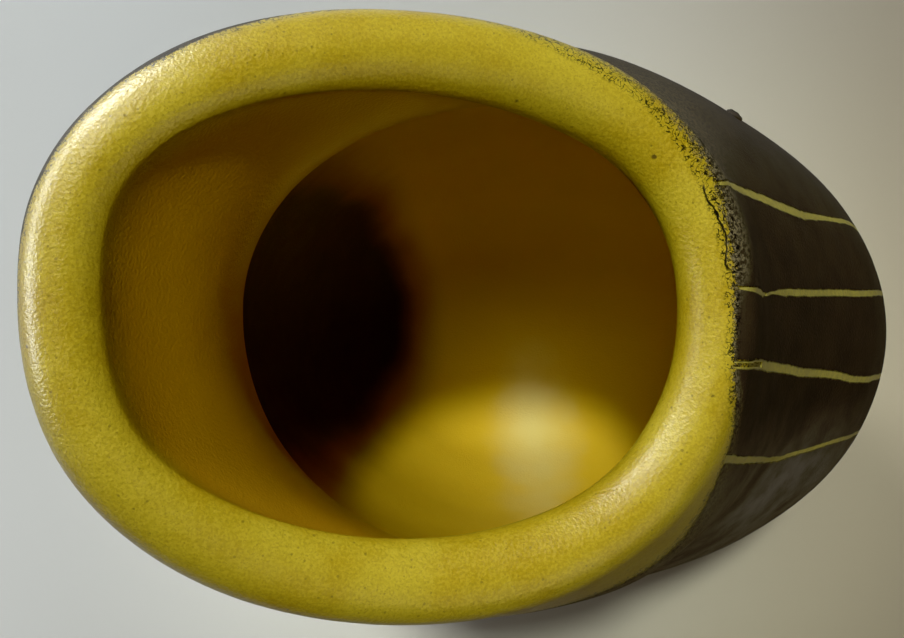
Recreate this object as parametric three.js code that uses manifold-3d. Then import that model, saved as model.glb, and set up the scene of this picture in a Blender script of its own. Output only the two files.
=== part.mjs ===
// A free-form earthenware vase. A small foot carries an oval belly that swells to the right, the
// waist leans to the left, and the wide mouth has a thick rolled lip that is higher on the left.
// Three clay parts are luted on top of each other: a base dish, the wall and the lip roll. A yellow
// glaze lines the inside and comes over the lip, a dark matt glaze covers the outside, and four
// scratched lines in the dark glaze are filled with the yellow one.
import * as THREE from 'three';
import { mergeVertices } from 'three/addons/utils/BufferGeometryUtils.js';
import Module from 'manifold-3d';

// Sections of the finished outside, in millimetres, from the foot to the rim. Each is an oval ring.
// Its left and right ends are measured from the middle of the foot, and it leans where their
// heights differ. A negative egg makes the right half of the ring broader than the left half.
const FOOT = { left: -32, leftHeight: 0, right: 32, rightHeight: 0, halfWidth: 31, offset: 0, egg: 0 };
const LOW_BELLY = {
  left: -50.5, leftHeight: 36.5, right: 63, rightHeight: 34, halfWidth: 46, offset: 0, egg: 0,
};
const BELLY = {
  left: -60, leftHeight: 73, right: 76.5, rightHeight: 68, halfWidth: 50.5, offset: -1, egg: -0.03,
};
const SHOULDER = {
  left: -60, leftHeight: 108, right: 67.5, rightHeight: 99, halfWidth: 48.5, offset: 0, egg: 0.02,
};
const WAIST = {
  left: -53.5, leftHeight: 138, right: 48, rightHeight: 126, halfWidth: 44.5, offset: 2, egg: 0,
};
const NECK = {
  left: -52, leftHeight: 163.5, right: 34.5, rightHeight: 148.5, halfWidth: 38, offset: -1, egg: -0.16,
};
const RIM = {
  left: -65.5, leftHeight: 186.5, right: 27, rightHeight: 169, halfWidth: 37, offset: 1.5, egg: -0.11,
};

// How far the rim's outline swells beyond an oval, in millimetres, and towards which angle. The
// lobes fade out down the wall, the faster the higher the fade.
const RIM_LOBES = [
  { waves: 2, height: 1.4, towards: -84, fade: 3 },
  { waves: 3, height: 1.2, towards: 5, fade: 3 },
  { waves: 4, height: 0.5, towards: 43, fade: 4 },
];

// Clay
const CLAY_WALL = 3.8;
const LIP_THICKNESS = 10.5;
const LIP_SWELL = 31;
const LIP_SEAM_DROP = 9;
const BASE_SEAM_HEIGHT = 26;
const BASE_THICKNESS = 5.5;
const COVE_HEIGHT = 12;
const FOOT_RING = 7;
const FOOT_RECESS = 2;
const FOOT_BEVEL = 1.2;

// Glaze coats, and the clearance between any two pieces that touch
const GLAZE = 0.6;
const FIT = 0.3;
const BARE_FOOT = 5;

// How far the cutters of the coats stand out past the glaze that they cut
const CUTTER_MARGIN = 1;

// How far below the rim the yellow coat ends on the outside, at every twelfth of the turn from the
// right end. Where it is negative, the dark coat climbs onto the lip.
const EDGE_DROPS = [-5.8, -4.8, 4, 5.5, 1.8, 1, 1.5, 3.5, 7, 9, 13, 1];

// Scratched lines: how far each lies sideways of the middle at the rim and down on the belly
const SCRATCHES = [
  { rimOffset: 19.5, bellyOffset: 18.5 },
  { rimOffset: 4.7, bellyOffset: 6.2 },
  { rimOffset: -5, bellyOffset: -10 },
  { rimOffset: -17.5, bellyOffset: -22.5 },
];
const SCRATCH_WIDTH = 2;
const SCRATCH_RECESS = 0.1;
const SCRATCH_END_HEIGHT = 22;

// A bead of dark glaze on the upper right of the belly, at a corner of the facets: the column and the
// wall row where it sits, its width and how far it stands out
const BEAD = { column: 5, row: 6, width: 3.2, rise: 0.9 };

// How finely the surfaces are cut up
const AROUND = 36;
const WALL_ROWS = 11;
const LIP_ROWS = 8;
const EDGE_ROWS = 6;
const COVE_ROWS = 3;

const sections = [FOOT, LOW_BELLY, BELLY, SHOULDER, WAIST, NECK, RIM];
const lipRadius = LIP_THICKNESS / 2;
const clayDepth = GLAZE + FIT;
const wallThickness = CLAY_WALL + 2 * clayDepth;
const clayFloor = FOOT_RECESS + BASE_THICKNESS;
const floorTop = clayFloor + clayDepth;
const rimRadius = (RIM.right - RIM.left + 2 * RIM.halfWidth) / 4;

const mix = THREE.MathUtils.lerp;
const radians = THREE.MathUtils.degToRad;
const clamp = THREE.MathUtils.clamp;

function steps(from, to, count) {
  return Array.from({ length: count + 1 }, (_, i) => mix(from, to, i / count));
}

function sideLine(pick) {
  return new THREE.CatmullRomCurve3(sections.map(pick), false, 'catmullrom', 0.5);
}

const leftLine = sideLine((s) => new THREE.Vector3(s.left, 0, s.leftHeight));
const rightLine = sideLine((s) => new THREE.Vector3(s.right, 0, s.rightHeight));
const breadthLine = sideLine((s) => new THREE.Vector3(s.halfWidth, s.offset, s.egg));

// A point of the finished outside. The level runs from 0 at the foot to 1 at the rim.
function outsidePoint(angle, level) {
  const left = leftLine.getPoint(level);
  const right = rightLine.getPoint(level);
  const breadth = breadthLine.getPoint(level);
  let swell = 1;
  for (const lobe of RIM_LOBES) {
    const wave = Math.cos(lobe.waves * (angle - radians(lobe.towards)));
    swell += (lobe.height / rimRadius) * level ** lobe.fade * wave;
  }
  const along = swell * Math.cos(angle);
  const across = swell * Math.sin(angle) * (1 - breadth.z * Math.cos(angle));
  const point = left.clone().add(right).multiplyScalar(0.5);
  point.addScaledVector(right.sub(left), along / 2);
  point.y += breadth.x * across + breadth.y;
  return point;
}

// The outside point with its outward normal, the upward direction along the wall, and the pace,
// which is how many millimetres one whole level would be there.
function wallFrame(angle, level) {
  const step = 1e-3;
  const low = Math.max(0, level - step);
  const high = Math.min(1, level + step);
  const up = outsidePoint(angle, high).sub(outsidePoint(angle, low));
  const pace = up.length() / (high - low);
  const round = outsidePoint(angle + step, level).sub(outsidePoint(angle - step, level));
  const normal = round.clone().cross(up).normalize();
  up.addScaledVector(normal, -up.dot(normal)).normalize();
  return { point: outsidePoint(angle, level), normal, up, pace, roundPace: round.length() / (2 * step) };
}

function outside(angle, level, depth) {
  const { point, normal } = wallFrame(angle, level);
  return point.addScaledVector(normal, -depth);
}

function overLip(angle, turn, depth) {
  const { point, normal, up } = wallFrame(angle, 1);
  const centre = point.addScaledVector(normal, -lipRadius);
  centre.addScaledVector(normal, (lipRadius - depth) * Math.cos(turn));
  return centre.addScaledVector(up, (lipRadius - depth) * Math.sin(turn));
}

// The wall thickens into the lip over the last stretch below the rim.
function thickness(angle, level) {
  const belowRim = (1 - level) * wallFrame(angle, 1).pace;
  const share = clamp(1 - belowRim / LIP_SWELL, 0, 1);
  return wallThickness + (LIP_THICKNESS - wallThickness) * share ** 2;
}

function inside(angle, level, depth) {
  return outside(angle, level, thickness(angle, level) - depth);
}

function levelAtHeight(surface, angle, depth, height) {
  let low = 0;
  let high = 0.5;
  while (high - low > 1e-6) {
    const middle = (low + high) / 2;
    if (surface(angle, middle, depth).z < height) {
      low = middle;
    } else {
      high = middle;
    }
  }
  return low;
}

// Stops are the places that a wall section passes on its way up the outside, over the lip, down the
// inside and across the floor. Each gives its point for an angle and a depth below the surface.
const atLevel = (level) => (angle, depth) => outside(angle, level, depth);
const insideLevel = (level) => (angle, depth) => inside(angle, level, depth);
const atTurn = (turn) => (angle, depth) => overLip(angle, turn, depth);
const glazeFootLevel = (angle) => levelAtHeight(outside, angle, 0, BARE_FOOT);
const baseSeamLevel = (angle) => levelAtHeight(outside, angle, 0, BASE_SEAM_HEIGHT);
const lipSeamLevel = (angle) => 1 - LIP_SEAM_DROP / wallFrame(angle, 1).pace;
const coveLevel = (angle) => levelAtHeight(inside, angle, 0, floorTop + COVE_HEIGHT);

// A stop a given distance up from a level that depends on the angle
function above(levelOf, distance, surface) {
  return (angle, depth) => {
    const level = levelOf(angle);
    return surface(angle, level + distance / wallFrame(angle, level).pace, depth);
  };
}

function between(lowerLevelOf, upperLevelOf, share, surface) {
  return (angle, depth) => surface(angle, mix(lowerLevelOf(angle), upperLevelOf(angle), share), depth);
}

// A climb is a distance in millimetres from the rim: up over the lip, or down the outside where it
// is negative.
function climbTo(climb, angle, depth) {
  if (climb > 0) {
    return overLip(angle, climb / lipRadius, depth);
  }
  return outside(angle, 1 + climb / wallFrame(angle, 1).pace, depth);
}

const edgeLine = new THREE.CatmullRomCurve3(
  EDGE_DROPS.map((drop) => new THREE.Vector3(drop, 0, 0)), true, 'catmullrom', 0.5,
);

// The climb of the border between the two coats
function edgeClimb(angle) {
  const turn = angle / (2 * Math.PI);
  return -edgeLine.getPoint(turn - Math.floor(turn)).x;
}

// The corner between the inside wall and the floor is a curve that leaves both of them smoothly.
function cove(share) {
  return (angle, depth) => {
    const level = coveLevel(angle);
    const start = inside(angle, level, depth);
    const down = inside(angle, level + 1e-3, 0).sub(inside(angle, level, 0)).normalize().negate();
    const floor = floorTop - depth;
    const corner = start.clone().addScaledVector(down, (start.z - floor) / -down.z);
    const radius = Math.hypot(corner.x, corner.y);
    const reach = Math.min(corner.distanceTo(start), radius / 2);
    const end = new THREE.Vector3(corner.x, corner.y, 0).multiplyScalar(1 - reach / radius);
    end.z = floor;
    const curve = new THREE.QuadraticBezierCurve3(start, corner, end);
    return curve.getPoint(share);
  };
}

// The underside of the foot, a given distance in from the edge of the foot
function underfoot(inset, height) {
  return (angle, depth) => {
    const side = outside(angle, levelAtHeight(outside, angle, depth, FOOT_BEVEL), depth);
    const point = side.multiplyScalar(1 - inset / Math.hypot(side.x, side.y));
    point.z = height;
    return point;
  };
}

const atLevelOf = (levelOf) => (angle, depth) => outside(angle, levelOf(angle), depth);
const halfwayToRim = (surface) => between(lipSeamLevel, () => 1, 0.5, surface);

const topOfLip = Math.PI / 2;
const angles = steps(0, 2 * Math.PI, AROUND).slice(0, AROUND);
const wallLevels = steps(0.16, 0.9, WALL_ROWS);
const lipTurns = steps(0, Math.PI, LIP_ROWS);

function ring(stop, depth) {
  return angles.map((angle) => stop(angle, depth));
}

function pole(height) {
  return [new THREE.Vector3(0, 0, height)];
}

function indexedGeometry(points, index) {
  const geometry = new THREE.BufferGeometry();
  const coordinates = points.flatMap((point) => point.toArray());
  geometry.setAttribute('position', new THREE.Float32BufferAttribute(coordinates, 3));
  geometry.setIndex(index);
  return geometry;
}

// The facets between two neighbouring rings, or between a ring and a pole. A facet with four
// corners is cut along its shorter diagonal, so that skins that face each other are cut alike.
function facetsBetween(points, row, next) {
  const facets = [];
  const count = Math.max(row.length, next.length);
  for (let j = 0; j < count && count > 1; j += 1) {
    const k = (j + 1) % count;
    if (row.length === 1) {
      facets.push(row[0], next[k], next[j]);
    } else if (next.length === 1) {
      facets.push(row[j], row[k], next[0]);
    } else {
      const rising = points[row[j]].distanceTo(points[next[k]]);
      const falling = points[row[k]].distanceTo(points[next[j]]);
      if (rising < falling) {
        facets.push(row[j], row[k], next[k], row[j], next[k], next[j]);
      } else {
        facets.push(row[j], row[k], next[j], row[k], next[k], next[j]);
      }
    }
  }
  return facets;
}

// Joins a loop of rings, and of poles on the axis, into one closed skin with its faces out.
function closedSkin(rows) {
  const points = rows.flat();
  let next = 0;
  const numbered = rows.map((row) => row.map(() => next++));
  const index = numbered.flatMap((row, i) => {
    return facetsBetween(points, row, numbered[(i + 1) % numbered.length]);
  });
  return indexedGeometry(points, index);
}

// The bottom of the vase with its recessed foot, floor and the turned-up start of the wall
function baseDish() {
  const seam = baseSeamLevel;
  return closedSkin([
    pole(FOOT_RECESS),
    ring(underfoot(FOOT_BEVEL + FOOT_RING + FOOT_RECESS, FOOT_RECESS), clayDepth),
    ring(underfoot(FOOT_BEVEL + FOOT_RING, 0), clayDepth),
    ring(underfoot(FOOT_BEVEL, 0), clayDepth),
    ring(underfoot(0, FOOT_BEVEL), clayDepth),
    ring(atLevelOf(glazeFootLevel), clayDepth),
    ring(between(glazeFootLevel, seam, 0.5, outside), clayDepth),
    ring(above(seam, 0, outside), clayDepth),
    ring(above(seam, 0, inside), clayDepth),
    ...steps(0, 1, COVE_ROWS).map((share) => ring(cove(share), clayDepth)),
    pole(clayFloor),
  ]);
}

// The wall from the base dish up to the lip roll
function wallShell() {
  return closedSkin([
    ring(above(baseSeamLevel, FIT, outside), clayDepth),
    ...wallLevels.map((level) => ring(atLevel(level), clayDepth)),
    ring(above(lipSeamLevel, 0, outside), clayDepth),
    ring(above(lipSeamLevel, 0, inside), clayDepth),
    ...wallLevels.toReversed().map((level) => ring(insideLevel(level), clayDepth)),
    ring(above(baseSeamLevel, FIT, inside), clayDepth),
  ]);
}

// The rolled lip, a thick coil that sits on the wall
function lipRoll() {
  return closedSkin([
    ring(above(lipSeamLevel, FIT, outside), clayDepth),
    ring(halfwayToRim(outside), clayDepth),
    ...lipTurns.map((turn) => ring(atTurn(turn), clayDepth)),
    ring(halfwayToRim(inside), clayDepth),
    ring(above(lipSeamLevel, FIT, inside), clayDepth),
  ]);
}

// A shell between two depths below the surface: out along the stops and back along them. Stops that
// end at the floor are closed by one pole for each of the two depths.
function shell(stops, topDepth, bottomDepth, poles = []) {
  const front = stops.map((stop) => ring(stop, topDepth));
  const back = stops.map((stop) => ring(stop, bottomDepth));
  return closedSkin([...front, ...poles, ...back.reverse()]);
}

// The whole yellow coat, which reaches down the outside to below the border
function wholeLinerCoat() {
  return shell([
    atLevel(wallLevels.at(-1)),
    above(lipSeamLevel, 0, outside),
    halfwayToRim(outside),
    ...lipTurns.map(atTurn),
    halfwayToRim(inside),
    above(lipSeamLevel, 0, inside),
    ...wallLevels.toReversed().map(insideLevel),
    above(baseSeamLevel, 0, inside),
    ...steps(0, 1, COVE_ROWS).map(cove),
  ], 0, GLAZE, [pole(floorTop), pole(floorTop - GLAZE)]);
}

// The whole dark coat, which reaches up to the top of the lip
function wholeOuterCoat() {
  return shell([
    atLevelOf(glazeFootLevel),
    between(glazeFootLevel, baseSeamLevel, 0.5, outside),
    above(baseSeamLevel, 0, outside),
    ...wallLevels.map(atLevel),
    above(lipSeamLevel, 0, outside),
    halfwayToRim(outside),
    ...lipTurns.filter((turn) => turn <= topOfLip).map(atTurn),
  ], 0, GLAZE);
}

// A cutter for what lies beside the border in a coat, from one climb to another
function borderCutter(fromClimb, toClimb) {
  const stops = steps(0, 1, EDGE_ROWS).map((share) => (angle, depth) => {
    return climbTo(mix(fromClimb(angle), toClimb(angle), share), angle, depth);
  });
  return shell(stops, -CUTTER_MARGIN, clayDepth);
}

// The angle on the right half of the wall where the outside lies a given offset from the middle
function angleAtOffset(level, offset) {
  let low = -Math.PI / 2;
  let high = Math.PI / 2;
  while (high - low > 1e-6) {
    const middle = (low + high) / 2;
    if (outsidePoint(middle, level).y < offset) {
      low = middle;
    } else {
      high = middle;
    }
  }
  return low;
}

// A strip that runs down the wall along one scratched line, between two depths below the surface.
// It ends a little past the border of the coats where the overshoot is positive.
function scratchStrip(scratch, width, topDepth, bottomDepth, overshoot) {
  const angleAt = (level) => {
    const share = THREE.MathUtils.smoothstep(1 - level, 0, 0.5);
    return angleAtOffset(level, mix(scratch.rimOffset, scratch.bellyOffset, share));
  };
  const rimAngle = angleAt(1);
  const pace = wallFrame(rimAngle, 1).pace;
  const edge = edgeClimb(rimAngle) - FIT / 2 + overshoot;
  const foot = levelAtHeight(outside, 0, 0, SCRATCH_END_HEIGHT) - overshoot / pace;
  const top = Math.min(1, 1 + edge / pace);
  const lastLevel = wallLevels.at(-1);
  const levels = [
    foot,
    ...wallLevels.filter((level) => level > foot),
    ...steps(lastLevel, top, EDGE_ROWS / 2).slice(1),
  ];
  const stops = levels.map((level) => ({ level, climb: (level - 1) * pace }));
  if (edge > 0) {
    stops.push({ level: 1, climb: edge / 2 }, { level: 1, climb: edge });
  }
  const corner = ({ level, climb }, side, depth) => {
    const angle = angleAt(level);
    const across = (side * width) / 2 / wallFrame(angle, level).roundPace;
    return climb > 0 ? climbTo(climb, angle + across, depth) : outside(angle + across, level, depth);
  };
  return stripSkin(stops.map((stop) => [
    corner(stop, -1, topDepth),
    corner(stop, 1, topDepth),
    corner(stop, 1, bottomDepth),
    corner(stop, -1, bottomDepth),
  ]));
}

// Joins four-cornered rows into a closed strip with an end face at each end
function stripSkin(rows) {
  const index = [];
  for (let i = 0; i + 1 < rows.length; i += 1) {
    for (let j = 0; j < 4; j += 1) {
      const a = i * 4 + j;
      const b = i * 4 + ((j + 1) % 4);
      index.push(a, b, b + 4, a, b + 4, a + 4);
    }
  }
  const last = (rows.length - 1) * 4;
  index.push(0, 2, 1, 0, 3, 2, last, last + 1, last + 2, last, last + 2, last + 3);
  return indexedGeometry(rows.flat(), index);
}

// A flattened bead whose inner end stays within the thickness of the coat
function glazeBead() {
  const { point, normal } = wallFrame(angles[BEAD.column], wallLevels[BEAD.row]);
  const halfHeight = (BEAD.rise + 0.8 * GLAZE) / 2;
  const geometry = new THREE.SphereGeometry(1, 10, 8);
  geometry.scale(BEAD.width / 2, BEAD.width / 2, halfHeight);
  const turn = new THREE.Quaternion().setFromUnitVectors(new THREE.Vector3(0, 0, 1), normal);
  geometry.applyQuaternion(turn);
  point.addScaledVector(normal, BEAD.rise - halfHeight);
  geometry.translate(point.x, point.y, point.z);
  return geometry;
}

const wasm = await Module();
wasm.setup();

function toSolid(geometry) {
  const bare = geometry.clone();
  bare.deleteAttribute('normal');
  bare.deleteAttribute('uv');
  const merged = mergeVertices(bare, 1e-5);
  return new wasm.Manifold(new wasm.Mesh({
    numProp: 3,
    vertProperties: new Float32Array(merged.attributes.position.array),
    triVerts: new Uint32Array(merged.index.array),
  }));
}

function toGeometry(solid) {
  const mesh = solid.getMesh();
  const geometry = new THREE.BufferGeometry();
  geometry.setAttribute('position', new THREE.BufferAttribute(mesh.vertProperties, 3));
  geometry.setIndex(new THREE.BufferAttribute(mesh.triVerts, 1));
  return geometry;
}

// The yellow coat, cut off below the border of the coats
function linerGlaze() {
  const coatEnd = (angle) => (wallLevels.at(-1) - 1) * wallFrame(angle, 1).pace - CUTTER_MARGIN;
  const below = borderCutter(coatEnd, (angle) => edgeClimb(angle) + FIT / 2);
  return toGeometry(toSolid(wholeLinerCoat()).subtract(toSolid(below)));
}

// The dark coat with its bead, cut off above the border and cut through by the grooves of the
// scratched lines
function outerGlaze() {
  const coatEnd = topOfLip * lipRadius + CUTTER_MARGIN;
  const beyond = borderCutter((angle) => edgeClimb(angle) - FIT / 2, () => coatEnd);
  const grooves = SCRATCHES.map((scratch) => {
    return toSolid(scratchStrip(scratch, SCRATCH_WIDTH, -CUTTER_MARGIN, clayDepth, CUTTER_MARGIN));
  });
  const coat = toSolid(wholeOuterCoat()).add(toSolid(glazeBead())).subtract(toSolid(beyond));
  return toGeometry(grooves.reduce((rest, groove) => rest.subtract(groove), coat));
}

function scratchLine(scratch) {
  return scratchStrip(scratch, SCRATCH_WIDTH - 2 * FIT, SCRATCH_RECESS, GLAZE, 0);
}

const clay = () => new THREE.MeshStandardMaterial({ color: 0xb98a63, roughness: 0.9, metalness: 0 });
const yellow = () => new THREE.MeshStandardMaterial({ color: 0xb09a2c, roughness: 0.35, metalness: 0 });
const dark = () => new THREE.MeshStandardMaterial({ color: 0x29241d, roughness: 0.6, metalness: 0 });
const paleYellow = () => new THREE.MeshStandardMaterial({ color: 0xa89a58, roughness: 0.6, metalness: 0 });

const vase = new THREE.Group();

function addPiece(name, geometry, material) {
  geometry.computeVertexNormals();
  const mesh = new THREE.Mesh(geometry, material);
  mesh.name = name;
  vase.add(mesh);
}

addPiece('base_dish', baseDish(), clay());
addPiece('wall_shell', wallShell(), clay());
addPiece('lip_roll', lipRoll(), clay());
addPiece('liner_glaze', linerGlaze(), yellow());
addPiece('outer_glaze', outerGlaze(), dark());
SCRATCHES.forEach((scratch, i) => {
  addPiece(`scratch_line_${i + 1}`, scratchLine(scratch), paleYellow());
});

// The origin is on the table under the middle of the whole vase.
const box = new THREE.Box3().setFromObject(vase, true);
vase.position.set(-(box.min.x + box.max.x) / 2, -(box.min.y + box.max.y) / 2, -box.min.z);

export default vase;
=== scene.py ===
# %% [markdown]
# # A free-form earthenware vase, seen from above
# The real object is a hand-built vase: a clay body with a thick rolled lip, a yellow glaze inside and
# over the lip, and a dark matt glaze outside with four scratched lines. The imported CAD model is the
# fixed frame of this scene, in metres and with its foot on z = 0. Everything new is laid over it.

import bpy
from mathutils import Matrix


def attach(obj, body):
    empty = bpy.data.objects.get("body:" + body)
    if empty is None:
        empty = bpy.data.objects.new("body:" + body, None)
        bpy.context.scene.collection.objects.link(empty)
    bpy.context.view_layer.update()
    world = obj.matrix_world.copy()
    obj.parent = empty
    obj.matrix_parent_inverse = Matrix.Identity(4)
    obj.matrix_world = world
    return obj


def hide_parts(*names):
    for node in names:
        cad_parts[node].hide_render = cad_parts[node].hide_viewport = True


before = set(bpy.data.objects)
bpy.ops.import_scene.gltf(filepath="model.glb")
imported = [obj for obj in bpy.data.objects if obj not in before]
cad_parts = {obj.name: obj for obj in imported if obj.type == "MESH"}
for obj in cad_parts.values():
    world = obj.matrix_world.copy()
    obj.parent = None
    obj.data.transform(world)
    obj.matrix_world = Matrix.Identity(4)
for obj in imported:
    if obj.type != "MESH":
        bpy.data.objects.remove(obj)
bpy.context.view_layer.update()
print("CAD nodes:", ", ".join(sorted(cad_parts)))

# %% Libraries and the unit
import math

import bpy
import numpy as np
from mathutils import Vector, noise

MM = 0.001

# %% [markdown]
# ## The camera
# The photo looks almost straight down into the mouth from a hand's breadth above the lip. That close,
# perspective is strong: the belly, which is wider than the mouth, hides behind it on three sides. The
# camera could be placed by eye, but its height and lens were fitted to the outlines of the lip and of
# the throat instead, because a small error there would move every line in the picture.

# %% Camera
camera_data = bpy.data.cameras.new("camera")
camera_data.sensor_width = 36
camera_data.lens = 46.36
camera_data.clip_start = 0.01
camera = bpy.data.objects.new("camera", camera_data)
camera.location = (-0.01932, 0.00053, 0.32077)
camera.rotation_euler = (math.radians(0.562), math.radians(0.439), 0)
bpy.context.scene.collection.objects.link(camera)
bpy.context.scene.camera = camera
print("camera stands", round(camera.location.z / MM - 193.5), "mm above the top of the lip")

# %% [markdown]
# ## The form
# The vase isn't turned on a wheel, so it has no axis. Its outside is described as in the CAD source:
# seven oval sections from foot to rim, each with a left and a right end of its own height, joined by
# smooth curves. An angle and a level, from 0 at the foot to 1 at the rim, give one point. The same
# formula is repeated here, so that the smooth glaze lies exactly on the faceted clay of the frame.

# %% Sections of the outside, in millimetres
# left, its height, right, its height, half width, offset, egg
SECTIONS = {
    "foot": (-32, 0, 32, 0, 31, 0, 0),
    "low_belly": (-50.5, 36.5, 63, 34, 46, 0, 0),
    "belly": (-60, 73, 76.5, 68, 50.5, -1, -0.03),
    "shoulder": (-60, 108, 67.5, 99, 48.5, 0, 0.02),
    "waist": (-53.5, 138, 48, 126, 44.5, 2, 0),
    "neck": (-52, 163.5, 34.5, 148.5, 38, -1, -0.16),
    "rim": (-65.5, 186.5, 27, 169, 37, 1.5, -0.11),
}
# waves round the rim, height, towards which angle, how fast they fade down the wall
RIM_LOBES = [(2, 1.4, -84, 3), (3, 1.2, 5, 3), (4, 0.5, 43, 4)]
WALL = 5.6
LIP_THICKNESS = 10.5
LIP_SWELL = 31
COVE_HEIGHT = 12
FLOOR_HEIGHT = 8.4
BARE_FOOT = 5
FOOT_CENTRE = np.array([-6.842, 0.977, 0.0])

LIP_RADIUS = LIP_THICKNESS / 2
INNER_LIP = math.pi * LIP_RADIUS
rim = SECTIONS["rim"]
RIM_RADIUS = (rim[2] - rim[0] + 2 * rim[4]) / 4


def smooth_curve(values, place, closed=False):
    """A smooth curve through the rows of values, read at places that are counted in rows."""
    values = np.asarray(values, float)
    before = values[-1:] if closed else 2 * values[:1] - values[1:2]
    after = values[:2] if closed else 2 * values[-1:] - values[-2:-1]
    padded = np.concatenate([before, values, after])
    last = len(values) - (1 if closed else 2)
    row = np.clip(np.floor(place).astype(int), 0, last)
    t = (place - row)[..., None]
    a, b, c, d = (padded[row + k] for k in range(4))
    bend = 2 * a - 5 * b + 4 * c - d + t * (3 * (b - c) + d - a)
    return b + 0.5 * t * (c - a + t * bend)


def outside_point(angle, level):
    """Points of the finished outside, in millimetres from the middle of the foot."""
    angle, level = np.broadcast_arrays(angle, level)
    curve = smooth_curve(list(SECTIONS.values()), level * (len(SECTIONS) - 1))
    left, left_height, right, right_height, half_width, offset, egg = np.moveaxis(curve, -1, 0)
    swell = 1.0
    for waves, height, towards, fade in RIM_LOBES:
        wave = np.cos(waves * (angle - math.radians(towards)))
        swell = swell + height / RIM_RADIUS * level**fade * wave
    along = swell * np.cos(angle)
    across = swell * np.sin(angle) * (1 - egg * np.cos(angle))
    x = (left + right) / 2 + (right - left) * along / 2
    z = (left_height + right_height) / 2 + (right_height - left_height) * along / 2
    return np.stack([x, half_width * across + offset, z], axis=-1)


middle_level = outside_point(np.radians([0, 180]), np.array([0.5, 0.5]))
print("belly from", middle_level[1].round(1), "to", middle_level[0].round(1), "mm")

# %% [markdown]
# Every surface of the vase is a depth below that outside: the glaze lies on top, the clay below it,
# and the inside wall one wall thickness deeper. So the next helpers find the direction straight out
# of the wall, roll the outside over the lip in a half circle, and come down again on the inside. A
# climb is a distance along the wall in millimetres from the rim: up over the lip, or down the
# outside where it is negative.

# %% Directions in the wall, and the relief of the hand
SWELL_WIDTH, SWELL_HEIGHT = 26, 0.32
DENT_WIDTH, DENT_HEIGHT = 8, 0.11
ELSEWHERE = Vector((7, 3, 1))


def unit(direction):
    return direction / np.linalg.norm(direction, axis=-1, keepdims=True)


def wall_frame(angle, level):
    """The outside point, the outward normal, the upward direction and the millimetres per level."""
    step = 1e-3
    low, high = np.maximum(level - step, 0), np.minimum(level + step, 1)
    up = outside_point(angle, high) - outside_point(angle, low)
    pace = np.linalg.norm(up, axis=-1) / np.broadcast_to(high - low, up.shape[:-1])
    round_way = outside_point(angle + step, level) - outside_point(angle - step, level)
    normal = unit(np.cross(round_way, up))
    up = unit(up - normal * np.sum(up * normal, axis=-1, keepdims=True))
    return outside_point(angle, level), normal, up, pace


def hand_relief(points):
    """How far the hand-built surface rises or sinks, in millimetres: slow swells and small dents."""
    flat = points.reshape(-1, 3)
    swells = [noise.noise(Vector(p) / SWELL_WIDTH) for p in flat]
    dents = [noise.noise(Vector(p) / DENT_WIDTH + ELSEWHERE) for p in flat]
    relief = SWELL_HEIGHT * np.array(swells) + DENT_HEIGHT * np.array(dents)
    return relief.reshape(points.shape[:-1])


right_side = wall_frame(np.array(0.0), np.array(0.5))
print("the wall faces", right_side[1].round(2), "at half its height on the right")

# %% Outside, lip and inside
HALVINGS = 30


def outside(angle, level, depth=0.0):
    """A point of the wall, at a depth in millimetres below the finished outside."""
    point, normal, _, _ = wall_frame(angle, level)
    return point - normal * np.asarray(depth)[..., None]


def over_lip(angle, turn, depth=0.0):
    """A point of the lip: the turn runs from 0 outside to half a circle inside."""
    angle, turn = np.broadcast_arrays(angle, turn)
    point, normal, up, _ = wall_frame(angle, np.ones_like(turn))
    reach = (LIP_RADIUS - np.asarray(depth))[..., None]
    way = normal * np.cos(turn)[..., None] + up * np.sin(turn)[..., None]
    return point - normal * LIP_RADIUS + reach * way


def climb_to(climb, angle, depth=0.0):
    """A point at a climb in millimetres above or below the rim."""
    climb, angle = np.broadcast_arrays(climb, angle)
    pace = wall_frame(angle, np.ones_like(climb))[3]
    below = outside(angle, np.clip(1 + climb / pace, 0, 1), depth)
    return np.where((climb > 0)[..., None], over_lip(angle, climb / LIP_RADIUS, depth), below)


def thickness(angle, level):
    """The wall grows thicker over the last stretch below the rim, towards the thick lip."""
    below_rim = (1 - level) * wall_frame(angle, np.ones_like(level))[3]
    share = np.clip(1 - below_rim / LIP_SWELL, 0, 1)
    return WALL + (LIP_THICKNESS - WALL) * share**2


def inside(angle, level, depth=0.0):
    angle, level = np.broadcast_arrays(angle, level)
    return outside(angle, level, thickness(angle, level) - np.asarray(depth))


def by_halving(low, high, too_low):
    """The values up to which too_low holds, found by halving the way between low and high."""
    for _ in range(HALVINGS):
        middle = (low + high) / 2
        short = too_low(middle)
        low, high = np.where(short, middle, low), np.where(short, high, middle)
    return low


def level_at_height(surface, angle, height, depth=0.0):
    """The level at which a surface reaches a height."""
    return by_halving(np.zeros_like(angle), np.full_like(angle, 0.5),
                      lambda level: surface(angle, level, depth)[..., 2] < height)


# %% Ninety-six columns round the vase
AROUND = 96
angles = np.linspace(0, 2 * math.pi, AROUND, endpoint=False)
rim_pace = wall_frame(angles, np.ones(AROUND))[3]
foot_level = level_at_height(outside, angles, BARE_FOOT)
rim_relief = hand_relief(outside_point(angles, np.ones(AROUND)))
print("relief on the rim:", rim_relief.min().round(2), "to", rim_relief.max().round(2), "mm")

# %% [markdown]
# ## The border between the two glazes
# The yellow glaze ends on the outside in a wandering border. On the right the dark glaze climbs onto
# the lip, at the front the yellow hangs down over the outside, and at the left the dark one just
# shows as a thin edge. The border was read from the photo at every fifteen degrees, and goes on
# smoothly where the photo doesn't show it. Where the coats overlap they mingle: over a wide speckled
# zone at the two ends of the border on the right, and over a narrow one elsewhere.

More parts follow.
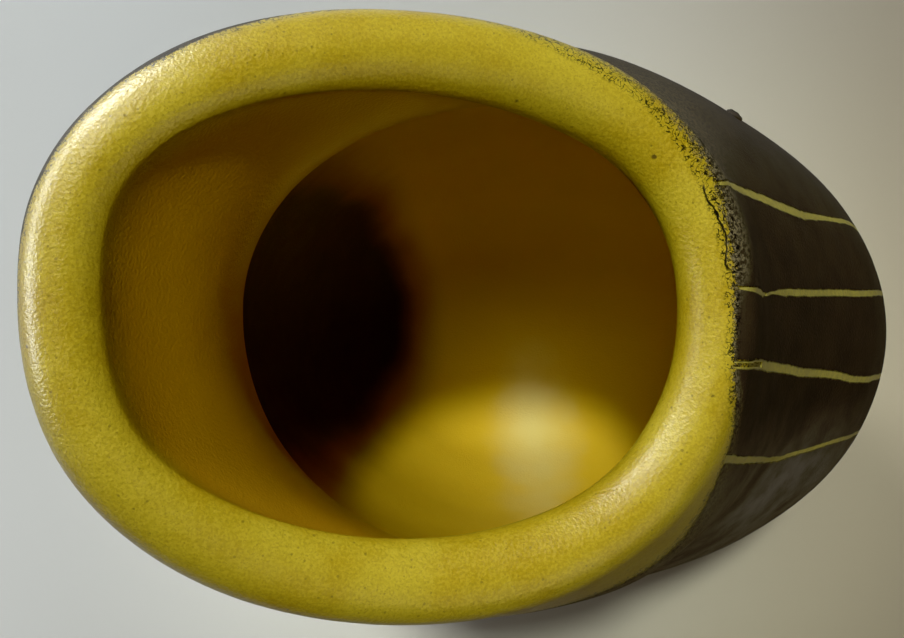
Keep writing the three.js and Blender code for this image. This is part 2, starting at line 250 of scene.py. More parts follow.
# %% Border, at every fifteen degrees from the right, in millimetres
BORDER_CLIMBS = [5.2, 4.9, 3.2, 1.0, 0.2, -1.2, -0.6, 3.7, 5.7, 6.7, 6.7, 6.0,
                 4.9, 3.2, 0.2, -3, -5.5, -8, -9, -11.5, -13.8, -13.2, -4, 3.6]
CRACK_ANGLE = 16.6
MINGLE_WIDTHS = [1.3, 2.4, 4.4, 7, 8, 7, 4, 1.6, 0.9, 0.9, 0.9, 0.9,
                 0.9, 1.2, 2, 3, 4, 4, 4, 5, 5, 5.5, 2.8, 1.5]
# height and length of the waves in its ragged edge
WANDER = ((0.5, 3.1), (0.35, 1.2))
WANDER_RADIUS = 34


def round_the_rim(values, angle):
    """Reads values that are given all round the rim at an angle, along a smooth curve."""
    place = (angle / (2 * math.pi) % 1) * len(values)
    return smooth_curve(np.array(values, float)[:, None], place, closed=True)[..., 0]


def border_climb(angle):
    """How far the border climbs at an angle, with the wander of its ragged edge."""
    spots = np.stack([np.cos(angle), np.sin(angle), 0 * angle], axis=-1) * WANDER_RADIUS
    wander = [sum(height * noise.noise(Vector(spot) / length) for height, length in WANDER)
              for spot in spots]
    return round_the_rim(BORDER_CLIMBS, angle) + np.array(wander)


border = border_climb(angles)
print("border climbs from", border.min().round(1), "to", border.max().round(1), "mm")

# %% [markdown]
# ## How a skin is made
# A lathe or a spin can only give round forms, so each glaze coat starts as a tall tube: one circle,
# extruded ring by ring, as by hand. Then every ring is moved onto its outline on the vase. A
# Subdivision Surface smooths the skin, and Solidify gives it the thickness of a coat, inwards.

# %% Tube of extruded rings
TUBE_RADIUS, ROW_STEP = 0.05, 0.002


def select_only(piece):
    bpy.ops.object.select_all(action="DESELECT")
    piece.select_set(True)
    bpy.context.view_layer.objects.active = piece


def name_new(name):
    """Names the shape that was just added."""
    piece = bpy.context.active_object
    piece.name = piece.data.name = name
    return piece


def extruded_tube(name, rows):
    """A tube of rings, the first of them at the bottom. Its first size is of no account."""
    bpy.ops.mesh.primitive_circle_add(vertices=AROUND, radius=TUBE_RADIUS)
    piece = name_new(name)
    bpy.ops.object.mode_set(mode="EDIT")
    bpy.ops.mesh.select_all(action="SELECT")
    for _ in range(rows - 1):
        bpy.ops.mesh.extrude_region_move(TRANSFORM_OT_translate={"value": (0, 0, ROW_STEP)})
    bpy.ops.object.mode_set(mode="OBJECT")
    return piece


print("rings of a new tube are", round(ROW_STEP / MM), "mm apart")

# %% [markdown]
# A material can only follow the border if it knows how far each point lies from it. A vertex colour
# would do, but a UV map holds two free numbers per point and survives every modifier, so the climb,
# the width and the like are kept in UV maps.

# %% Put the points in place, and note values on the surface
SAME_POINT = 0.02
COAT = 0.6


def place_points(piece, points):
    """Moves a piece's points to places in millimetres from the middle of the foot."""
    placed = (points + FOOT_CENTRE) * MM
    piece.data.vertices.foreach_set("co", placed.astype(np.float32).ravel())
    piece.data.update()


def tube_of(name, rings):
    """A tube whose rings lie on the vase, with the row and the column of each of its points."""
    piece = extruded_tube(name, len(rings))
    points = np.array([vertex.co for vertex in piece.data.vertices])
    turn = np.arctan2(points[:, 1], points[:, 0]) / (2 * math.pi)
    row = np.rint(points[:, 2] / ROW_STEP).astype(int)
    column = np.rint(turn * AROUND).astype(int) % AROUND
    place_points(piece, np.array(rings)[row, column])
    return piece, row, column


def note_on_surface(piece, name, across, along):
    """Keeps two values per point in a UV map, where a material can read them."""
    layer = piece.data.uv_layers.new(name=name)
    corners = np.array([loop.vertex_index for loop in piece.data.loops])
    layer.data.foreach_set("uv", np.stack([across[corners], along[corners]], axis=-1).ravel())


def edit_all(piece, *steps):
    """Runs edit-mode operators on the whole piece."""
    select_only(piece)
    bpy.ops.object.mode_set(mode="EDIT")
    bpy.ops.mesh.select_all(action="SELECT")
    for step in steps:
        step()
    bpy.ops.object.mode_set(mode="OBJECT")


def merge_doubles():
    bpy.ops.mesh.remove_doubles(threshold=SAME_POINT * MM)


def apply_modifier(piece, kind, **settings):
    """Adds a modifier with its settings, and applies it."""
    select_only(piece)
    modifier = piece.modifiers.new(kind.lower(), kind)
    for name, value in settings.items():
        setattr(modifier, name, value)
    bpy.ops.object.modifier_apply(modifier=modifier.name)


def turn_faces_to(piece, towards):
    """Flips all faces if the ones of the first column look away from where they should."""
    face = piece.data.polygons[0]
    if face.normal.dot(Vector(towards(face.center / MM))) < 0:
        edit_all(piece, bpy.ops.mesh.flip_normals)


def face_outwards(piece):
    turn_faces_to(piece, lambda centre: centre - Vector(FOOT_CENTRE) - Vector((0, 0, centre.z)))


def shade(piece, sharp_from=40):
    """Smooth shading, but for edges that are sharper than an angle in degrees."""
    select_only(piece)
    bpy.ops.object.shade_smooth_by_angle(angle=math.radians(sharp_from))


def finish_skin(piece):
    """Smooths a skin, gives it the thickness of a coat inwards, and shades it."""
    apply_modifier(piece, "SUBSURF", levels=1, render_levels=1)
    apply_modifier(piece, "SOLIDIFY", thickness=COAT * MM, offset=-1, use_even_offset=True)
    shade(piece, 50)
    print(piece.name, "has", len(piece.data.polygons), "faces")


print("a coat is", COAT, "mm thick, and points nearer than", SAME_POINT, "mm count as one")

# %% [markdown]
# ## The yellow coat
# This glaze was poured in and out of the vase: it covers the floor, the whole inside and the lip, and
# ends at the border. Its skin starts at the border, rolls over the lip, goes down the inside to the
# rounded corner of the floor, and closes at a point in the middle of the floor.

# %% Rings of the yellow coat
SEAM = 0.015
LIP_RINGS, INSIDE_RINGS, COVE_RINGS = 26, 62, 9
FLOOR_SHARES = (0.85, 0.7, 0.55, 0.4, 0.25, 0.12, 0)
FLOOR_RELIEF = 2
FLOOR_CLIMB = 150.0
cove_level = level_at_height(inside, angles, FLOOR_HEIGHT + COVE_HEIGHT)


def mix(start, end, share):
    return start + (end - start) * share


def cove_rings(shares):
    """The corner of the floor, a curve that leaves wall and floor smoothly."""
    start = inside(angles, cove_level)
    down = unit(inside(angles, cove_level) - inside(angles, cove_level + 1e-3))
    corner = start + down * ((start[:, 2:] - FLOOR_HEIGHT) / -down[:, 2:])
    radius = np.linalg.norm(corner[:, :2], axis=-1, keepdims=True)
    reach = np.minimum(np.linalg.norm(corner - start, axis=-1, keepdims=True), radius / 2)
    end = corner * (1 - reach / radius)
    end[:, 2] = FLOOR_HEIGHT
    return [start * (1 - s) ** 2 + 2 * corner * s * (1 - s) + end * s**2 for s in shares]


def raised(surface, *place):
    """A surface with the relief of the hand-built wall."""
    return surface(*place, -hand_relief(surface(*place)))


rings, climbs = [], []
for share in np.linspace(0, 1, LIP_RINGS):
    climbs.append(mix(border + SEAM, INNER_LIP, share))
    rings.append(raised(climb_to, climbs[-1], angles))
for share in np.linspace(0, 1, INSIDE_RINGS)[1:]:
    level = mix(1, cove_level, share)
    climbs.append(INNER_LIP + (1 - level) * rim_pace)
    rings.append(raised(inside, angles, level))
bottom = cove_rings(np.linspace(0, 1, COVE_RINGS)[1:])
floor_edge = bottom[-1]
bottom += [floor_edge * np.array([share, share, 1]) for share in FLOOR_SHARES]
for ring in bottom:
    swell = np.zeros_like(ring)
    swell[:, 2] = FLOOR_RELIEF * hand_relief(ring)
    rings.append(ring + swell)
climbs += [np.full(AROUND, FLOOR_CLIMB)] * (len(rings) - len(climbs))
print("yellow coat:", len(rings), "rings of", AROUND, "points")

# %% Yellow coat
def note_places(piece, climbs, row, column):
    """Keeps what the glaze's material needs: the way past the border, and the place of the crack."""
    climb = np.array(climbs)[row, column]
    mingle = round_the_rim(MINGLE_WIDTHS, angles)[column]
    note_on_surface(piece, "glaze_border", climb - border[column], mingle)
    turn = (np.degrees(angles[column]) - CRACK_ANGLE + 180) % 360 - 180
    note_on_surface(piece, "crack_place", np.abs(turn), climb)


yellow_coat, row, column = tube_of("yellow_glaze_coat", rings)
note_places(yellow_coat, climbs, row, column)
edit_all(yellow_coat, merge_doubles)
turn_faces_to(yellow_coat, lambda centre: wall_frame(np.arctan2(centre.y, centre.x), 1.0)[1])
finish_skin(yellow_coat)

# %% [markdown]
# ## The dark coat
# The outside was brushed with a dark matt glaze from the border down to just above the foot, which
# stays bare. It is made in the same way, in one skin from the foot up to the border.

# %% Rings of the dark coat
TOP_OF_WALL = 0.86
WALL_RINGS, TOP_RINGS = 60, 18
rings, climbs = [], []
for share in np.linspace(0, 1, WALL_RINGS):
    level = mix(foot_level, TOP_OF_WALL, share)
    climbs.append((level - 1) * rim_pace)
    rings.append(raised(outside, angles, level))
for share in np.linspace(0, 1, TOP_RINGS)[1:]:
    climbs.append(mix((TOP_OF_WALL - 1) * rim_pace, border - SEAM, share))
    rings.append(raised(climb_to, climbs[-1], angles))
print("dark coat:", len(rings), "rings of", AROUND, "points")

# %% Dark coat
dark_coat, row, column = tube_of("dark_glaze_coat", rings)
note_places(dark_coat, climbs, row, column)
face_outwards(dark_coat)
finish_skin(dark_coat)

# %% [markdown]
# ## The scratched lines
# Four lines run down the belly. The potter scratched them through the dark glaze and laid the pale
# yellow one in them. Each line needs a groove and a filling. Painting them on would look flat at the
# silhouette, so a strip is cut from a flat grid, laid on the wall, and used twice: a deep copy cuts
# the groove by a Boolean, and a thin copy lies in it. Wobbly edges come from seeded noise.

# %% Where the lines run: climb and offset from the middle, in millimetres
GROOVE_DEPTH = 0.3
FILL_RECESS = 0.07
LINES = {
    "line_1": [(3.0, 18.3), (-9, 19.7), (-19, 20.4), (-30.5, 20.2), (-37, 19.5), (-46, 19.05),
               (-57, 19.5), (-72, 19.7), (-100, 19.4), (-130, 17)],
    "line_2": [(4.2, 4.9), (-6, 4.7), (-12, 4.6), (-27, 5.3), (-40, 5.65), (-51, 6.05),
               (-57, 6.2), (-74, 7), (-100, 7), (-130, 6.4)],
    "line_3": [(4.3, -4.9), (-6, -5.1), (-13.5, -5.4), (-28.7, -6.3), (-37, -7.1), (-50, -8.05),
               (-60, -9.4), (-75, -9.6), (-100, -10), (-130, -9)],
    "line_4": [(-1.5, -17.2), (-10.5, -18.2), (-27, -19.95), (-45, -21.9), (-50, -21.8),
               (-55, -21.5), (-63, -20.6), (-78, -20.7), (-100, -20), (-130, -18)],
}

# %% The width of each line at some of its climbs
LINE_WIDTHS = {
    "line_1": [(3.0, 0.5), (-1, 0.95), (-19, 1.4), (-34, 1.9), (-46, 1.8), (-53, 1.15), (-75, 1.15),
               (-130, 0.6)],
    "line_2": [(4.2, 0.4), (0, 0.8), (-9, 1.0), (-13, 0.4), (-23, 0.45), (-28, 1.2), (-57, 1.3),
               (-75, 1.1), (-130, 0.6)],
    "line_3": [(4.3, 1.1), (-6, 1.5), (-20, 1.6), (-50, 1.5), (-75, 1.1), (-130, 0.6)],
    "line_4": [(-1.5, 1.5), (-10, 1.25), (-45, 1.2), (-63, 1.15), (-78, 1), (-130, 0.6)],
}


def width_at(line, climb):
    knots = np.array(LINE_WIDTHS[line], float)
    return np.interp(-climb, -knots[:, 0], knots[:, 1])


for name in LINES:
    print(name, "is", width_at(name, -30).round(2), "mm wide on the shoulder")

# %% Path of a line over the wall
CURVE_STEPS = 2000
WAVER_HEIGHT, WAVER_LENGTH = 0.16, 5


def angle_at(climb, offset):
    """The angle on the right half of the vase at which a climb has an offset from the middle."""
    end = np.full_like(climb, math.pi / 2)
    return by_halving(-end, end, lambda angle: climb_to(climb, angle)[..., 1] < offset)


def line_path(name, rows):
    """Climbs and angles down the middle of a line, with the small waver of a hand."""
    knots = np.array(LINES[name], float)
    place = np.linspace(0, len(knots) - 1, CURVE_STEPS)
    dense = smooth_curve(knots, place)
    climb = np.linspace(knots[0, 0], knots[-1, 0], rows)
    offset = np.interp(-climb, -dense[:, 0], dense[:, 1])
    waver = [noise.noise(Vector((c / WAVER_LENGTH, knots[0, 1], 3))) for c in climb]
    return climb, angle_at(climb, offset + WAVER_HEIGHT * np.array(waver))


print("line_1 starts at", np.degrees(line_path("line_1", 2)[1][0]).round(1), "degrees")

# %% A strip laid on the wall
STRIP_ROWS = 260
STRIP_COLUMNS = 4
ONLY_AT_THE_START = 8
UV_SCALE = 100
# jags of the edges: share of half the width, length in millimetres, row in the noise
JAGS = ((0.3, 0.8, 9), (0.16, 3, 5))


def half_width(line, climb, way):
    """Half the width of a line on one side, with the jags of a scratch in dry glaze."""
    jag = [sum(height * noise.noise(Vector((c / length, way * row, LINES[line][0][1])))
               for height, length, row in JAGS) for c in climb]
    return width_at(line, climb) / 2 * (1 + np.array(jag))


def lay_strip(name, line, extra_width, depth, start_ahead=0.0):
    """Lays a strip along a line, at a depth below the surface and somewhat wider than the line."""
    bpy.ops.mesh.primitive_grid_add(x_subdivisions=STRIP_COLUMNS, y_subdivisions=STRIP_ROWS, size=1)
    piece = name_new(name)
    points = np.array([vertex.co for vertex in piece.data.vertices])
    row = np.rint((0.5 - points[:, 1]) * STRIP_ROWS).astype(int)
    side = points[:, 0] * 2
    climb, angle = line_path(line, STRIP_ROWS + 1)
    climb = climb + start_ahead * np.linspace(1, 0, STRIP_ROWS + 1) ** ONLY_AT_THE_START
    half = [half_width(line, climb, way) + extra_width for way in (-1, 1)]
    step = 1e-3
    round_way = climb_to(climb, angle + step) - climb_to(climb, angle - step)
    pace = np.linalg.norm(round_way, axis=-1) / (2 * step)
    reach = np.where(side < 0, half[0][row], half[1][row])
    at = angle[row] + side * reach / pace[row]
    relief = hand_relief(climb_to(climb[row], at))
    place_points(piece, climb_to(climb[row], at, depth - relief))
    note_on_surface(piece, "line_place", side, climb[row] / UV_SCALE)
    return piece


print("a strip has", STRIP_ROWS, "rows of", STRIP_COLUMNS, "faces")

# %% [markdown]
# A Boolean with the EXACT solver leaves a clean groove where a knife cut would need a window. In two
# places the real filling has flaked off, so the groove is cut there too but the filling left out.

# %% Helpers for cutting and for bare stretches
def cut_away(piece, cutter):
    apply_modifier(piece, "BOOLEAN", operation="DIFFERENCE", solver="EXACT", object=cutter)
    bpy.data.objects.remove(cutter)


# where a filling has flaked off: from climb, to climb, and whether only its middle is gone
BARE_STRETCHES = {"line_2": (-15, -17, False), "line_3": (5, -10, True)}


def leave_bare(filling, line):
    """Deletes the faces of a filling over its bare stretch."""
    if line not in BARE_STRETCHES:
        return
    start, end, only_middle = BARE_STRETCHES[line]
    edit_all(filling, lambda: bpy.ops.mesh.select_all(action="DESELECT"))
    places = filling.data.uv_layers["line_place"].data
    for face in filling.data.polygons:
        spots = [places[corner].uv for corner in face.loop_indices]
        side = sum(spot.x for spot in spots) / len(spots)
        climb = sum(spot.y for spot in spots) / len(spots) * UV_SCALE
        face.select = end < climb < start and (abs(side) < 0.5 or not only_middle)
    bpy.ops.object.mode_set(mode="EDIT")
    bpy.ops.mesh.delete(type="FACE")
    bpy.ops.object.mode_set(mode="OBJECT")


print("bare stretches:", ", ".join(BARE_STRETCHES))

# %% Cut the grooves and lay the fillings in them
GROOVE_PLAY = 0.04
CUT_FROM_ABOVE = 0.7
CUT_AHEAD = 0.8
fillings = []
for name in LINES:
    cutter = lay_strip("cutter", name, GROOVE_PLAY, -CUT_FROM_ABOVE, start_ahead=CUT_AHEAD)
    face_outwards(cutter)
    apply_modifier(cutter, "SOLIDIFY", thickness=(GROOVE_DEPTH + CUT_FROM_ABOVE) * MM, offset=-1)
    cut_away(dark_coat, cutter)
    filling = lay_strip(name + "_filling", name, 0.0, FILL_RECESS)
    face_outwards(filling)
    leave_bare(filling, name)
    apply_modifier(filling, "SOLIDIFY", thickness=(GROOVE_DEPTH - FILL_RECESS) * MM, offset=-1)
    shade(filling)
    fillings.append(filling)
shade(dark_coat)
print("dark coat after its grooves:", len(dark_coat.data.polygons), "faces")

# %% [markdown]
# ## The bead on the shoulder
# A lump of dark glaze stands out on the upper right of the belly, where it shows on the silhouette.
# It starts as a small sphere. One transform flattens it, another stretches it round the wall, and its
# inner side sinks into the coat.

# %% Bead
BEAD_ANGLE, BEAD_LEVEL = math.radians(52), 0.585
BEAD_LENGTH, BEAD_WIDTH, BEAD_HEIGHT = 2.2, 3.4, 0.75
LUMPS, LUMP_WAVES = 0.16, 1.7
point, normal, up, _ = wall_frame(np.array(BEAD_ANGLE), np.array(BEAD_LEVEL))
bpy.ops.mesh.primitive_uv_sphere_add(segments=32, ring_count=20, radius=1)
bead = name_new("glaze_bead")
side_way = np.cross(up, normal)
local = np.array([vertex.co for vertex in bead.data.vertices])
lump = 1 + LUMPS * np.array([noise.noise(Vector(p) * LUMP_WAVES) for p in local])[:, None]
local = local * lump * np.array([BEAD_WIDTH / 2, BEAD_LENGTH / 2, BEAD_HEIGHT])
place_points(bead, point + local[:, :1] * side_way + local[:, 1:2] * up + local[:, 2:] * normal)
everywhere = np.ones(len(bead.data.vertices))
note_on_surface(bead, "glaze_border", -40 * everywhere, 4 * everywhere)
note_on_surface(bead, "crack_place", 90 * everywhere, -40 * everywhere)
select_only(bead)
bpy.ops.object.shade_smooth()
print("bead of", len(bead.data.polygons), "faces")

# %% [markdown]
# ## The foot
# The bottom of the vase is a separate clay dish in the frame. Its recessed underside and the bare
# ring show from low angles, and there the facets of the CAD solid would show too. So a smooth dish
# stands for it: the same tube of rings, closed at both ends, with a small bevel on its sharp edges.

# %% Rings of the foot dish
CLAY_DEPTH = 0.9
BASE_SEAM = 26
SIDE_RINGS = 9
FOOT_RING, FOOT_RECESS, FOOT_BEVEL = 7, 2, 1.2
FLOOR_CLEARANCE = 1.7
SHARP_EDGE_BEVEL = 0.5


def underfoot(inset, height):
    """A ring under the foot, so many millimetres inside its outline and at a height."""
    side = outside(angles, level_at_height(outside, angles, FOOT_BEVEL, CLAY_DEPTH), CLAY_DEPTH)
    points = side * (1 - inset / np.linalg.norm(side[:, :2], axis=-1, keepdims=True))
    points[:, 2] = height
    return points


seam_level = level_at_height(outside, angles, BASE_SEAM)
centre_below = np.tile([0.0, 0.0, FOOT_RECESS], (AROUND, 1))
under = underfoot(FOOT_BEVEL + FOOT_RING + FOOT_RECESS, FOOT_RECESS)
rings = [mix(centre_below, under, share) for share in (0, 0.4, 0.8, 1)]
rings += [underfoot(FOOT_BEVEL + FOOT_RING, 0), underfoot(FOOT_BEVEL, 0), underfoot(0, FOOT_BEVEL)]
rings += [outside(angles, mix(foot_level, seam_level, share), CLAY_DEPTH)
          for share in np.linspace(0, 1, SIDE_RINGS)]
rings += [inside(angles, mix(seam_level, cove_level, share), CLAY_DEPTH) for share in (0, 1)]
lower = np.array([0, 0, -FLOOR_CLEARANCE])
cove_clay = [ring + lower * share
             for ring, share in zip(cove_rings((0.25, 0.5, 0.75, 1)), (0.4, 0.7, 0.9, 1))]
rings += cove_clay
rings.append(cove_clay[-1] * np.array([0, 0, 1]))
print("foot dish:", len(rings), "rings of", AROUND, "points")

# %% Foot dish
foot_dish = tube_of("foot_dish", rings)[0]
edit_all(foot_dish, merge_doubles, bpy.ops.mesh.normals_make_consistent)
apply_modifier(foot_dish, "BEVEL", width=SHARP_EDGE_BEVEL * MM, segments=3, limit_method="ANGLE",
               angle_limit=math.radians(35))
shade(foot_dish)
print("foot dish has", len(foot_dish.data.polygons), "faces")

# %% [markdown]
# ## Materials
# Colours are read from the photo as a screen shows them, and turned into the linear values that a
# shader works with. Small helpers keep the node trees short enough to read.

# %% Colours
def screen_colour(red, green, blue):
    """A colour from 0 to 255, as a screen shows it, in linear light."""
    parts = []
    for part in (red / 255, green / 255, blue / 255):
        parts.append(part / 12.92 if part <= 0.04045 else ((part + 0.055) / 1.055) ** 2.4)
    return (*parts, 1.0)


# yellow glaze, on the lip and then deeper and deeper inside
LEMON = screen_colour(184, 162, 50)
YELLOW = screen_colour(142, 124, 28)
OCHRE = screen_colour(126, 103, 12)
AMBER = screen_colour(160, 114, 26)
HONEY = screen_colour(210, 173, 44)
# painted highlight on the bottom of the inside
HIGHLIGHT_CREAM = screen_colour(222, 214, 150)
OLIVE = screen_colour(112, 94, 22)
# dark glaze, from black to its pale veil
INK = screen_colour(14, 12, 10)
SOOT = screen_colour(33, 27, 20)
BARK = screen_colour(46, 38, 27)
IRON = screen_colour(62, 46, 20)
ASH = screen_colour(106, 95, 66)
# painted sheen on the front of the dark glaze
SHEEN_GREY = screen_colour(102, 94, 82)
# lines, clay and table
STRAW, DIRTY_STRAW = screen_colour(148, 137, 60), screen_colour(120, 108, 42)
BUFF, PALE_BUFF = screen_colour(168, 124, 88), screen_colour(196, 156, 116)
BROWN_SAND = screen_colour(110, 78, 54)
print("yellow in linear light:", [round(part, 3) for part in YELLOW[:3]])

# %% Node helpers
def connect(value, socket):
    """Feeds an input with a value, or with the output of another node."""
    if isinstance(value, bpy.types.NodeSocket):
        socket.id_data.links.new(value, socket)
    else:
        socket.default_value = value


def set_inputs(node, **values):
    for name, value in values.items():
        connect(value, node.inputs[name.replace("_", " ")])


def put(tree, kind, settings=None, **inputs):
    """Adds a node with its settings and inputs."""
    node = tree.nodes.new("ShaderNode" + kind)
    for name, value in (settings or {}).items():
        setattr(node, name, value)
    set_inputs(node, **inputs)
    return node


def maths(operation, a, b=0.0, kind="Math"):
    """Adds a node of arithmetic to the tree that its first value comes from."""
    node = put(a.id_data, kind, {"operation": operation})
    connect(a, node.inputs[0])
    connect(b, node.inputs[1])
    return node.outputs[1 if operation == "DISTANCE" else 0]


def times(a, b):
    return maths("MULTIPLY", a, b)


def plus(a, b):
    return maths("ADD", a, b)


def minus(a, b):
    return maths("SUBTRACT", a, b)


def soft_step(value, low, high, to_low=0.0, to_high=1.0):
    """Runs smoothly from one value to another while the input goes from low to high."""
    node = put(value.id_data, "MapRange", {"interpolation_type": "SMOOTHSTEP"}, Value=value,
               From_Min=low, From_Max=high, To_Min=to_low, To_Max=to_high)
    return node.outputs[0]


# %% Node helpers for colours, noise and groups
def mix_colour(share, first, second):
    node = put(share.id_data, "Mix", {"data_type": "RGBA"})
    for index, value in ((0, share), (6, first), (7, second)):
        connect(value, node.inputs[index])
    return node.outputs[2]


def layers(colour, *steps):
    """Lays colours over a first one. Each step is a mask, its strength and a colour."""
    for mask, strength, over in steps:
        colour = mix_colour(times(mask, strength), colour, over)
    return colour


def grain(place, scale, detail=2.0, roughness=0.5):
    """Noise from 0 to 1. Its scale counts grains per metre."""
    return put(place.id_data, "TexNoise", Vector=place, Scale=scale, Detail=detail,
               Roughness=roughness).outputs[0]


def ridge_lines(place, scale, low, high):
    """Thin worm-like lines: the places where noise crosses its middle value."""
    ridges = maths("ABSOLUTE", minus(grain(place, scale, 1.0), 0.5))
    return soft_step(ridges, low, high)


def new_group(name, inputs, outputs):
    """A node group, what comes in at its named inputs, and its output node."""
    group = bpy.data.node_groups.new(name, "ShaderNodeTree")
    for socket in inputs:
        kind = "NodeSocketVector" if socket == "Place" else "NodeSocketFloat"
        group.interface.new_socket(name=socket, in_out="INPUT", socket_type=kind)
    for socket in outputs:
        group.interface.new_socket(name=socket, in_out="OUTPUT", socket_type="NodeSocketFloat")
    given = group.nodes.new("NodeGroupInput").outputs
    return group, [given[socket] for socket in inputs], group.nodes.new("NodeGroupOutput")


def give(group, result, **values):
    """Links values to a group's outputs."""
    for name, value in values.items():
        group.links.new(value, result.inputs[name])
    print(group.name, "gives", ", ".join(values))


def use_group(group, **inputs):
    """What a group makes of its inputs."""
    node = inputs["Place"].id_data.nodes.new("ShaderNodeGroup")
    node.node_tree = group
    set_inputs(node, **inputs)
    return node.outputs


def axis(place, number):
    """A place along one axis: 0 to the right, 1 to the back, 2 upwards."""
    return put(place.id_data, "SeparateXYZ", Vector=place).outputs[number]


# %% [markdown]
# Three effects are shared by several finishes. Iron specks are dots of random size, and each sits in
# one cell of a Voronoi pattern. Mottle is the cloudy unevenness of a brushed glaze. The skin of a
# glaze is never flat: fine orange peel and shallow waves give its gloss broken edges.

# %% Iron specks
SMALLEST_SPECK, SPECK_EDGE = 0.35, 0.05
RAGGED_GRAIN, RAGGED_DEPTH = 3500.0, 0.16
names = ["Place", "Scale", "Share", "Size"]
specks, (place, scale, share, size), result = new_group("iron_specks", names, ["Mask"])
cells = put(specks, "TexVoronoi", {"feature": "F1"}, Vector=place, Scale=scale)
luck = put(specks, "SeparateColor", Color=cells.outputs["Color"])
chosen = maths("LESS_THAN", luck.outputs[0], share)
size = times(size, plus(luck.outputs[1], SMALLEST_SPECK))
ragged = times(grain(place, RAGGED_GRAIN), RAGGED_DEPTH)
ragged = plus(cells.outputs["Distance"], ragged)
inside_dot = minus(plus(size, RAGGED_DEPTH / 2), ragged)
dot = soft_step(inside_dot, -SPECK_EDGE, SPECK_EDGE)
give(specks, result, Mask=times(dot, chosen))


def dots_of(place, scale, share, size):
    return use_group(specks, Place=place, Scale=scale, Share=share, Size=size)[0]

# %% Mottle
CLOUD_LOW, CLOUD_HIGH = 0.32, 0.68
mottle, (place, scale), result = new_group("mottle", ["Place", "Scale"], ["Value"])
clouds = grain(place, scale, 4.0, 0.62)
give(mottle, result, Value=soft_step(clouds, CLOUD_LOW, CLOUD_HIGH))


def cloudy(place, scale):
    return use_group(mottle, Place=place, Scale=scale)[0]

# %% Skin of a glaze
PEEL_GRAIN, WAVE_GRAIN = 2300.0, 170.0
skin, (place, peel, waves), result = new_group("glaze_skin", ["Place", "Peel", "Waves"], ["Height"])
peel = times(grain(place, PEEL_GRAIN, 1.5), peel)
waves = times(grain(place, WAVE_GRAIN, 2.0), waves)
give(skin, result, Height=plus(peel, waves))

# %% [markdown]
# The border is the same for both coats, so it is one group that each material reads. It takes how
# far a point lies past the border and how wide the coats mingle there, both kept in the UV map, and
# lets fine noise decide, grain by grain, which glaze shows. The dark glaze also crawls into small
# black marks along the border, and wears a pale haze below it, where the coats mingle widely.

# %% Mingled border: which glaze shows
FINE_GRAIN, FINE_WEIGHT = 4200.0, 1.7
COARSE_GRAIN, COARSE_WEIGHT = 1500.0, 1.1
MIDDLE_OF_NOISE, GRAIN_EDGE = 0.9, 0.14
mingled, (place, past, width), result = new_group(
    "mingled_border", ["Place", "Past", "Width"], ["Yellow", "Crawl", "Haze"])
share = plus(maths("DIVIDE", past, width), 0.5)
fine = times(grain(place, FINE_GRAIN, 2.0, 0.6), FINE_WEIGHT)
coarse = times(grain(place, COARSE_GRAIN, 2.0, 0.6), COARSE_WEIGHT)
threshold = minus(plus(fine, coarse), MIDDLE_OF_NOISE)
difference = minus(share, threshold)
give(mingled, result, Yellow=soft_step(difference, -GRAIN_EDGE, GRAIN_EDGE))

# %% Mingled border: black marks and haze
CRAWL_GRAIN = 1500.0
BELOW_BORDER, ABOVE_BORDER = 1.1, 0.9
CLEAR_WIDTH, LEAST_WIDTH, HAZE_REACH = 1.2, 0.1, 9.0
worms = ridge_lines(place, CRAWL_GRAIN, 0.045, 0.02)
spread = times(width, 0.5)
near = times(soft_step(plus(past, spread), -BELOW_BORDER, 0.0),
             soft_step(minus(past, spread), ABOVE_BORDER, 0.0))
hazy_width = maths("MAXIMUM", minus(width, CLEAR_WIDTH), LEAST_WIDTH)
veil = plus(maths("DIVIDE", past, times(hazy_width, HAZE_REACH)), 1.0)
give(mingled, result, Crawl=times(worms, near), Haze=soft_step(veil, 0.0, 1.1))

# %% [markdown]
# One crack follows the border for two centimetres on the right. It is drawn where the climb kept in
# the UV map crosses a wavy line, and only near one angle.

# %% Crack
CRACK_CLIMB = 5.4
BROAD_WAVES, SMALL_WAVES = (260.0, 2.6), (1300.0, 0.7)
CRACK_WIDTH, CRACK_CORE, CRACK_END, CRACK_FULL = 0.22, 0.1, 9.5, 8.0
crack, (place, turn, climb), result = new_group("crack", ["Place", "Turn", "Climb"], ["Mask"])
broad = times(minus(grain(place, BROAD_WAVES[0]), 0.5), BROAD_WAVES[1])
small = times(grain(place, SMALL_WAVES[0]), SMALL_WAVES[1])
wavy_line = plus(plus(broad, small), CRACK_CLIMB - SMALL_WAVES[1] / 2)
from_line = maths("ABSOLUTE", minus(climb, wavy_line))
line = soft_step(from_line, CRACK_WIDTH, CRACK_CORE)
give(crack, result, Mask=times(line, soft_step(turn, CRACK_END, CRACK_FULL)))

# %% [markdown]
# ## Colour of the yellow glaze
# Thick, satin and slightly cloudy: lemon where it is thick, ochre where it ran thin, full of fine
# iron specks and with a few larger pinholes. A picture of glaze would fix its grain to one view and
# one size, so the colour is built up from noise, from the broadest clouds to the finest dots.

# %% Colour of the yellow glaze
YELLOW_CLOUDS, LEMON_GRAIN, OLIVE_GRAIN, IRON_GRIT, PINHOLES = 70.0, 2400.0, 3300.0, 1300.0, 400.0


